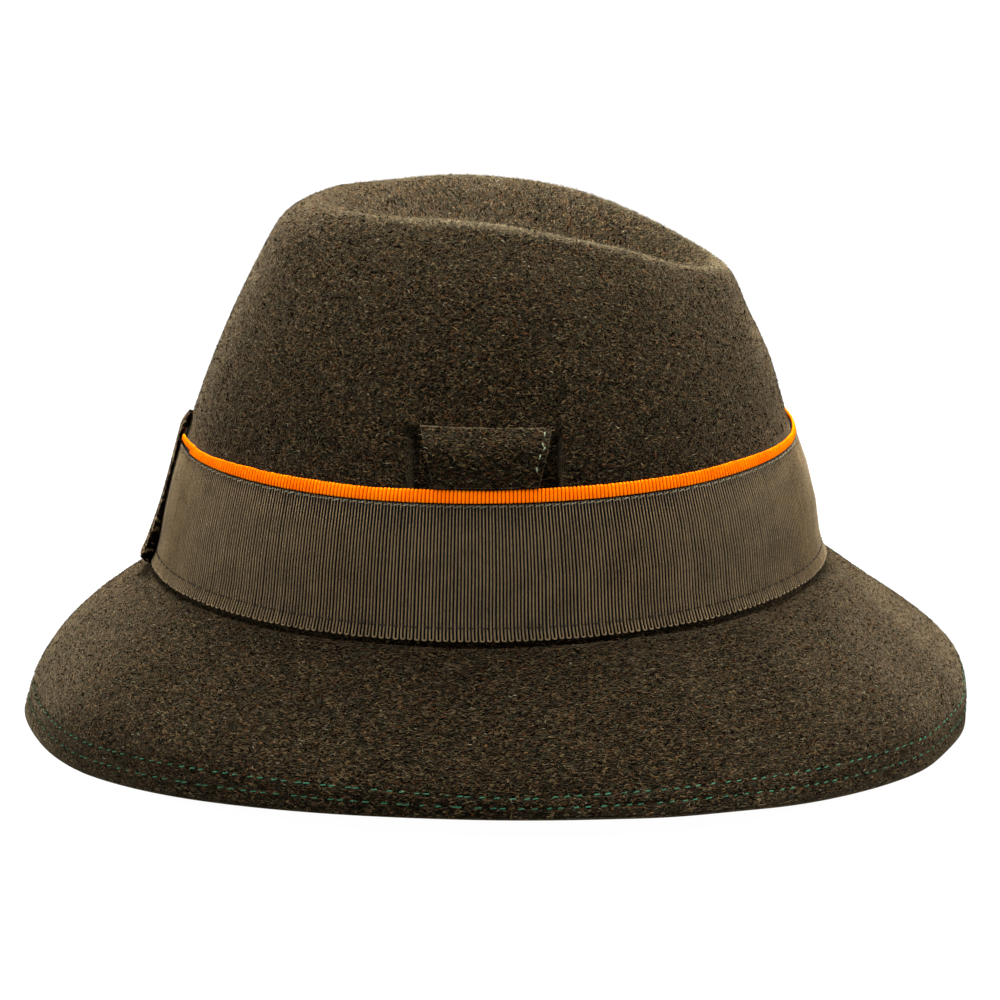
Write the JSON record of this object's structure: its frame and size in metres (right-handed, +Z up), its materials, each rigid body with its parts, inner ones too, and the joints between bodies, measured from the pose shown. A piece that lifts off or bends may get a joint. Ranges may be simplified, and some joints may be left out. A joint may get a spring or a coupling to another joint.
{
  "type": "hunting hat",
  "caption": "Felt hunting hat with a centre-dent crown, sloping brim, ribbed ribbon with bright piping, side loop and back tab.",
  "frame": {"origin": "middle of the brim's outline, on the surface that the hat stands on", "axes": "+X to the front of the hat, +Y to the wearer's left, +Z up"},
  "size_m": [0.293, 0.261, 0.1605],
  "materials": {
    "felt": "heathered brown wool felt",
    "ribbon": "ribbed brown grosgrain",
    "piping": "ribbed bright orange",
    "loop_felt": "brown wool felt",
    "tab_cloth": "mottled brown ribbed cloth"
  },
  "bodies": {
    "root": {"felt_body": "felt", "ribbon_band": "ribbon", "orange_piping": "piping", "felt_loop": "loop_felt", "back_tab": "tab_cloth"}
  },
  "joints": []
}
